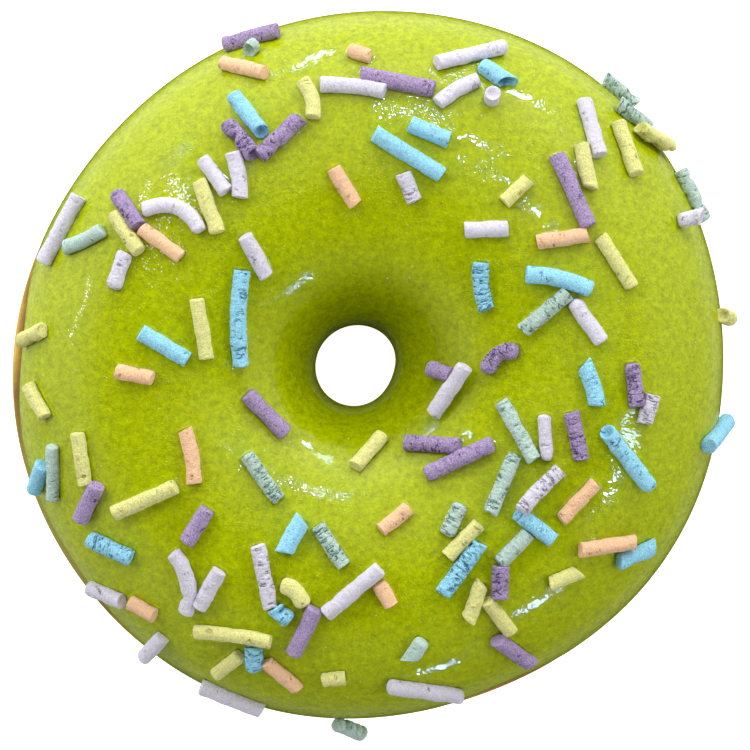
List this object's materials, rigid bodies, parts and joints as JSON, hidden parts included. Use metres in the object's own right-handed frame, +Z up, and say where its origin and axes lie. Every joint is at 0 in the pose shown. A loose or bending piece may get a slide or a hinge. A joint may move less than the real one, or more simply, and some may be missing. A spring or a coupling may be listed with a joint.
{
  "type": "frosted ring doughnut",
  "caption": "Ring doughnut dipped in glossy lime icing, with short matt pastel sprinkles strewn over the icing.",
  "frame": {"origin": "under the middle of the whole, on the surface it rests on", "axes": "+Z up through the hole, +X to the right and +Y to the back as the doughnut is seen from above"},
  "size_m": [0.0901, 0.0913, 0.034],
  "materials": {
    "dough": "matt fried crust, pale tan",
    "icing": "smooth glossy lime icing with matt pastel sprinkles"
  },
  "bodies": {
    "root": {"dough": "dough", "icing": "icing"}
  },
  "joints": []
}
